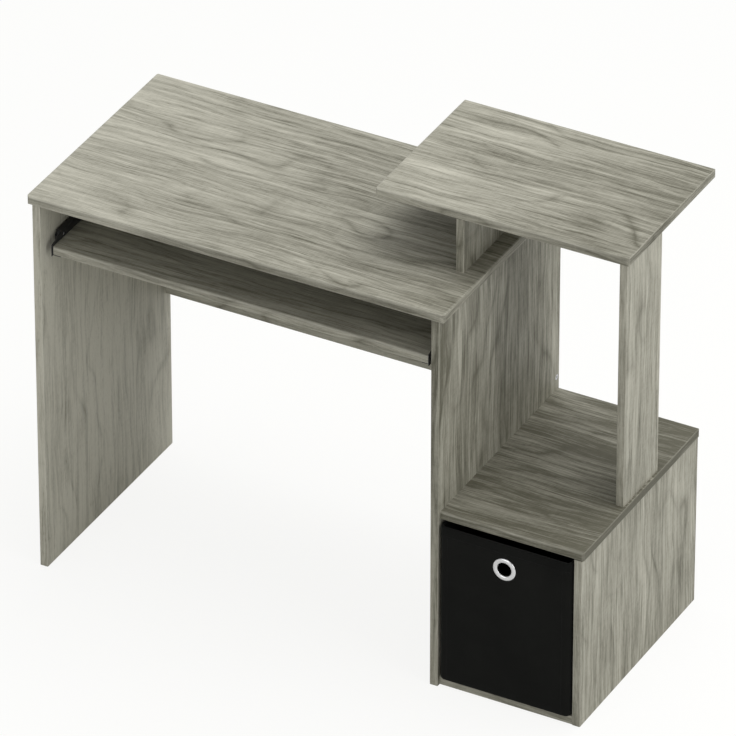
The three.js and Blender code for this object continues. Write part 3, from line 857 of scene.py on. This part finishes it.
def makeBinShell():
    low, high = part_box("bin_shell")
    wall, levels = binSet["wall"], binSet["levels"]
    heights = [low.z + (high.z - low.z) * i / levels for i in range(levels + 1)]
    loops = [binLoop(low, high, inset, low.z + rise, 0) for inset, rise in binSet["foot"]]
    for i, z in enumerate(heights):
        loops.append(binLoop(low, high, 0, max(z, low.z + binSet["footTop"]), bowAt(i / levels)))
    for i, z in reversed(list(enumerate(heights))):
        loops.append(binLoop(low, high, wall, max(z, low.z + wall), bowAt(i / levels)))
    shell = addObject("rough", loftMesh("binShell", loops, binSet["sharpAngle"]), blackCloth)
    ring = nodeCentre("bin_ring_front")[0]
    radius, reach = binSet["holeRadius"], binSet["holeReach"]
    profile = [(0.0, -reach), (radius, -reach), (radius, reach), (0.0, reach)]
    hole = spinProfile("cutter", profile, (ring.x, low.y, ring.z), (0, 1, 0), binSet["holeSides"])
    cutter = addObject("cutter", hole)
    modifier = shell.modifiers.new("eyelet", "BOOLEAN")
    modifier.operation = "DIFFERENCE"
    modifier.solver = "EXACT"
    modifier.object = cutter
    piece = settle(shell, "binShell", blackCloth)
    bpy.data.objects.remove(cutter)
    give(piece, "bin", "bin_fabric", "bin_shell")


hemSet = {
    "drop": 0.020, "proud": 0.0006, "sharpAngle": 60,
    "turn": 0.0006,  # height of the turned lower edge
    "shoulder": 0.0012, "brow": 0.0001, "crown": 0.0006,
    "tuckShare": 0.2, "browShare": 0.3,  # of how far the tape stands proud
}


def makeBinHem():
    # The binding tape folded over the bin's mouth.
    low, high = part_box("bin_shell")
    wall, proud = binSet["wall"], hemSet["proud"]
    top = high.z
    foot = top - hemSet["drop"]
    turn = foot + hemSet["turn"]
    shoulder, brow, crown = top - hemSet["shoulder"], top + hemSet["brow"], top + hemSet["crown"]
    tuck, ease = proud * hemSet["tuckShare"], proud * hemSet["browShare"]
    section = [(-tuck, foot), (-proud, turn), (-proud, shoulder), (-ease, brow), (wall / 2, crown),
               (wall + ease, brow), (wall + proud, shoulder), (wall + proud, turn), (wall + tuck, foot)]
    height = high.z - low.z
    loops = [binLoop(low, high, inset, z, bowAt((z - low.z) / height)) for inset, z in section]
    mesh = loftMesh("binHem", loops, hemSet["sharpAngle"], closed=True)
    give(finishPiece(mesh, "binHem", bindingCloth), "bin", "bin_fabric")


stitchSet = {"stitchLength": 0.0032, "stitchPitch": 0.0050, "stitchRadius": 0.00042}
stitchSides = 6
stitchRings = 4


def makeStitchTree():
    # Runs a row of short rounded stitches along each edge path.
    tree, start, end = newPointTree("stitchTree", stitchSet)
    out = start.outputs
    path = addNode(tree, "GeometryNodeMeshToCurve", {"Mesh": out["Geometry"]})
    spacing = {"Curve": path.outputs[0], "Length": out["stitchPitch"]}
    points = addNode(tree, "GeometryNodeCurveToPoints", spacing, mode="LENGTH")
    ball = {"Segments": stitchSides, "Rings": stitchRings, "Radius": 0.5}
    stitch = addNode(tree, "GeometryNodeMeshUVSphere", ball)
    sides = {"X": out["stitchRadius"], "Y": out["stitchRadius"], "Z": out["stitchLength"]}
    size = addNode(tree, "ShaderNodeCombineXYZ", sides)
    whole = addNode(tree, "ShaderNodeVectorMath", {0: size.outputs[0], 1: (2, 2, 1)}, operation="MULTIPLY")
    inputs = {"Points": points.outputs["Points"], "Instance": stitch.outputs["Mesh"]}
    inputs["Scale"] = whole.outputs[0]
    endPointTree(tree, end, inputs, points.outputs["Tangent"], blackThread)
    return tree


def makeStitches():
    # One row round the hem, and one down each front seam.
    low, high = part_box("bin_shell")
    height = high.z - low.z
    lift = binSet["stitchLift"]
    z = high.z - binSet["stitchDrop"]
    loop = binLoop(low, high, -hemSet["proud"] - lift, z, bowAt((z - low.z) / height))
    paths = [loop + [loop[0]]]
    inset = binSet["corner"] + binSet["seamIn"]
    share = math.sin(math.pi * inset / (high.x - low.x))
    length = height - hemSet["drop"] - binSet["seamFoot"] - binSet["seamTop"]
    for x in (low.x + inset, high.x - inset):
        column = []
        for step in range(binSet["seamSteps"] + 1):
            z = low.z + binSet["seamFoot"] + length * step / binSet["seamSteps"]
            out = bowAt((z - low.z) / height) * share
            column.append(Vector((x, low.y - out - lift, z)))
        paths.append(column)
    points, edges = [], []
    for path in paths:
        first = len(points)
        points += path
        edges += [(first + i, first + i + 1) for i in range(len(path) - 1)]
    mesh = bpy.data.meshes.new("stitchPaths")
    mesh.from_pydata(points, edges, [])
    piece = runTree(mesh, makeStitchTree(), stitchSet, "binStitches", blackThread)
    give(piece, "bin", "bin_fabric")


# Radii are from the ring's axis. lift keeps the flange just clear of the cloth.
ringSet = {
    "inner": 0.013, "barrel": 0.0152, "lift": 0.0002, "fullness": 0.7, "steps": 10, "sides": 64,
    "washerInner": 0.0156, "washerBevel": 0.0002, "washerRim": 0.0012, "washerTaper": 0.0022,
    "washerEdge": 0.0006,
}


def makeBinRing():
    # A pressed ring: a domed flange outside, a barrel through the cloth and a washer inside.
    front, frontSize = nodeCentre("bin_ring_front")
    lowFront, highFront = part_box("bin_ring_front")
    lowBack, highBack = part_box("bin_ring_back")
    outer, inner, barrel = frontSize.x / 2, ringSet["inner"], ringSet["barrel"]
    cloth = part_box("bin_shell")[0].y
    flange = cloth - ringSet["lift"]
    middle, reach = (outer + inner) / 2, (outer - inner) / 2
    dome = []
    for step in range(ringSet["steps"] + 1):
        angle = math.pi * step / ringSet["steps"]
        depth = (cloth - lowFront.y) * math.sin(angle) ** ringSet["fullness"]
        dome.append((middle - reach * math.cos(angle), flange - depth))
    profile = dome + [(barrel, flange), (barrel, highFront.y), (inner, highFront.y)]
    axle = (front.x, 0, front.z)
    mesh = spinProfile("ring", profile, axle, (0, 1, 0), ringSet["sides"])
    give(finishPiece(mesh, "binRing", satinNickel), "bin", "ring_metal", "bin_ring_front")
    hole, bevel = ringSet["washerInner"], ringSet["washerBevel"]
    rim = outer - ringSet["washerRim"]
    washer = [(hole, lowBack.y), (rim, lowBack.y), (rim + bevel, lowBack.y + ringSet["washerEdge"]),
              (outer - ringSet["washerTaper"], highBack.y), (hole + bevel, highBack.y)]
    mesh = spinProfile("washer", washer, axle, (0, 1, 0), ringSet["sides"])
    give(finishPiece(mesh, "binRingWasher", satinNickel), "bin", "ring_metal", "bin_ring_back")


# ease is a share of the board's thickness, and shoulder a share of that ease
baseSet = {"ease": 0.45, "shoulder": 0.3, "sharpAngle": 60}


def makeBaseBoard():
    # The loose stiffener, covered in the same cloth, with soft edges.
    low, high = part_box("bin_base_board")
    ease = (high.z - low.z) * baseSet["ease"]
    part = ease * baseSet["shoulder"]
    section = [(ease, low.z), (part, low.z + part), (0, low.z + ease),
               (0, high.z - ease), (part, high.z - part), (ease, high.z)]
    loops = [binLoop(low, high, inset, z, 0) for inset, z in section]
    mesh = loftMesh("binBase", loops, baseSet["sharpAngle"])
    give(finishPiece(mesh, "binBase", blackCloth), "bin", "stiffener", "bin_base_board")


makeBinShell()
makeBinHem()
makeStitches()
makeBinRing()
makeBaseBoard()
print("bin made")

# Floor and light

stageSet = {
    "floorSize": 60.0,
    "floorDrop": 0.0005,  # keeps the floor just under the boards
    "floorSeen": (0.12, 0.12, 0.118, 1),  # on top of the floor's own glow
    "floorGlow": (0.87, 0.87, 0.86, 1),
    "floorBounce": (0.72, 0.72, 0.71, 1),
    "floorShader": {"Roughness": 0.9, "Specular IOR Level": 0.1, "Emission Strength": 1.0},
    "worldSeen": (1.0, 1.0, 1.0, 1),
    "worldFill": (0.50, 0.50, 0.50, 1),
    "lampAim": Vector((0, 0, 0.4)),
}
lamps = {
    "topLamp": {"at": (0.9, 0.9, 4.0), "size": 3.2, "power": 92},
    "rightLamp": {"at": (4.2, -0.8, 2.0), "size": 2.6, "power": 54},
    "frontLamp": {"at": (-0.8, -4.6, 1.6), "size": 3.0, "power": 36},
}


def addFloor():
    half = stageSet["floorSize"] / 2
    mesh = bpy.data.meshes.new("floor")
    corners = [(-half, -half, 0), (half, -half, 0), (half, half, 0), (-half, half, 0)]
    mesh.from_pydata(corners, [], [(0, 1, 2, 3)])
    material, tree, shader = newMaterial("paleFloor", stageSet["floorShader"])
    seen = addNode(tree, "ShaderNodeLightPath").outputs["Is Camera Ray"]
    colour = mixColour(tree, seen, stageSet["floorBounce"], stageSet["floorSeen"])
    tree.links.new(colour, shader.inputs["Base Color"])
    glow = mixColour(tree, seen, (0, 0, 0, 1), stageSet["floorGlow"])
    tree.links.new(glow, shader.inputs["Emission Color"])
    floor = addObject("floor", mesh, material)
    floor.location.z = -stageSet["floorDrop"]


def addLamps():
    for name, settings in lamps.items():
        data = bpy.data.lights.new(name, "AREA")
        data.shape = "SQUARE"
        data.size = settings["size"]
        data.energy = settings["power"]
        lamp = bpy.data.objects.new(name, data)
        lamp.location = settings["at"]
        towards = stageSet["lampAim"] - Vector(settings["at"])
        lamp.rotation_euler = towards.to_track_quat("-Z", "Y").to_euler()
        bpy.context.scene.collection.objects.link(lamp)


def addWorld():
    world = bpy.data.worlds.new("studio")
    world.use_nodes = True
    bpy.context.scene.world = world
    tree = world.node_tree
    back = tree.nodes["Background"]
    seen = addNode(tree, "ShaderNodeLightPath").outputs["Is Camera Ray"]
    colour = mixColour(tree, seen, stageSet["worldFill"], stageSet["worldSeen"])
    tree.links.new(colour, back.inputs["Color"])
    back.inputs["Strength"].default_value = 1.0


addFloor()
addLamps()
addWorld()
bpy.context.scene.view_settings.view_transform = "Standard"
print("stage set")
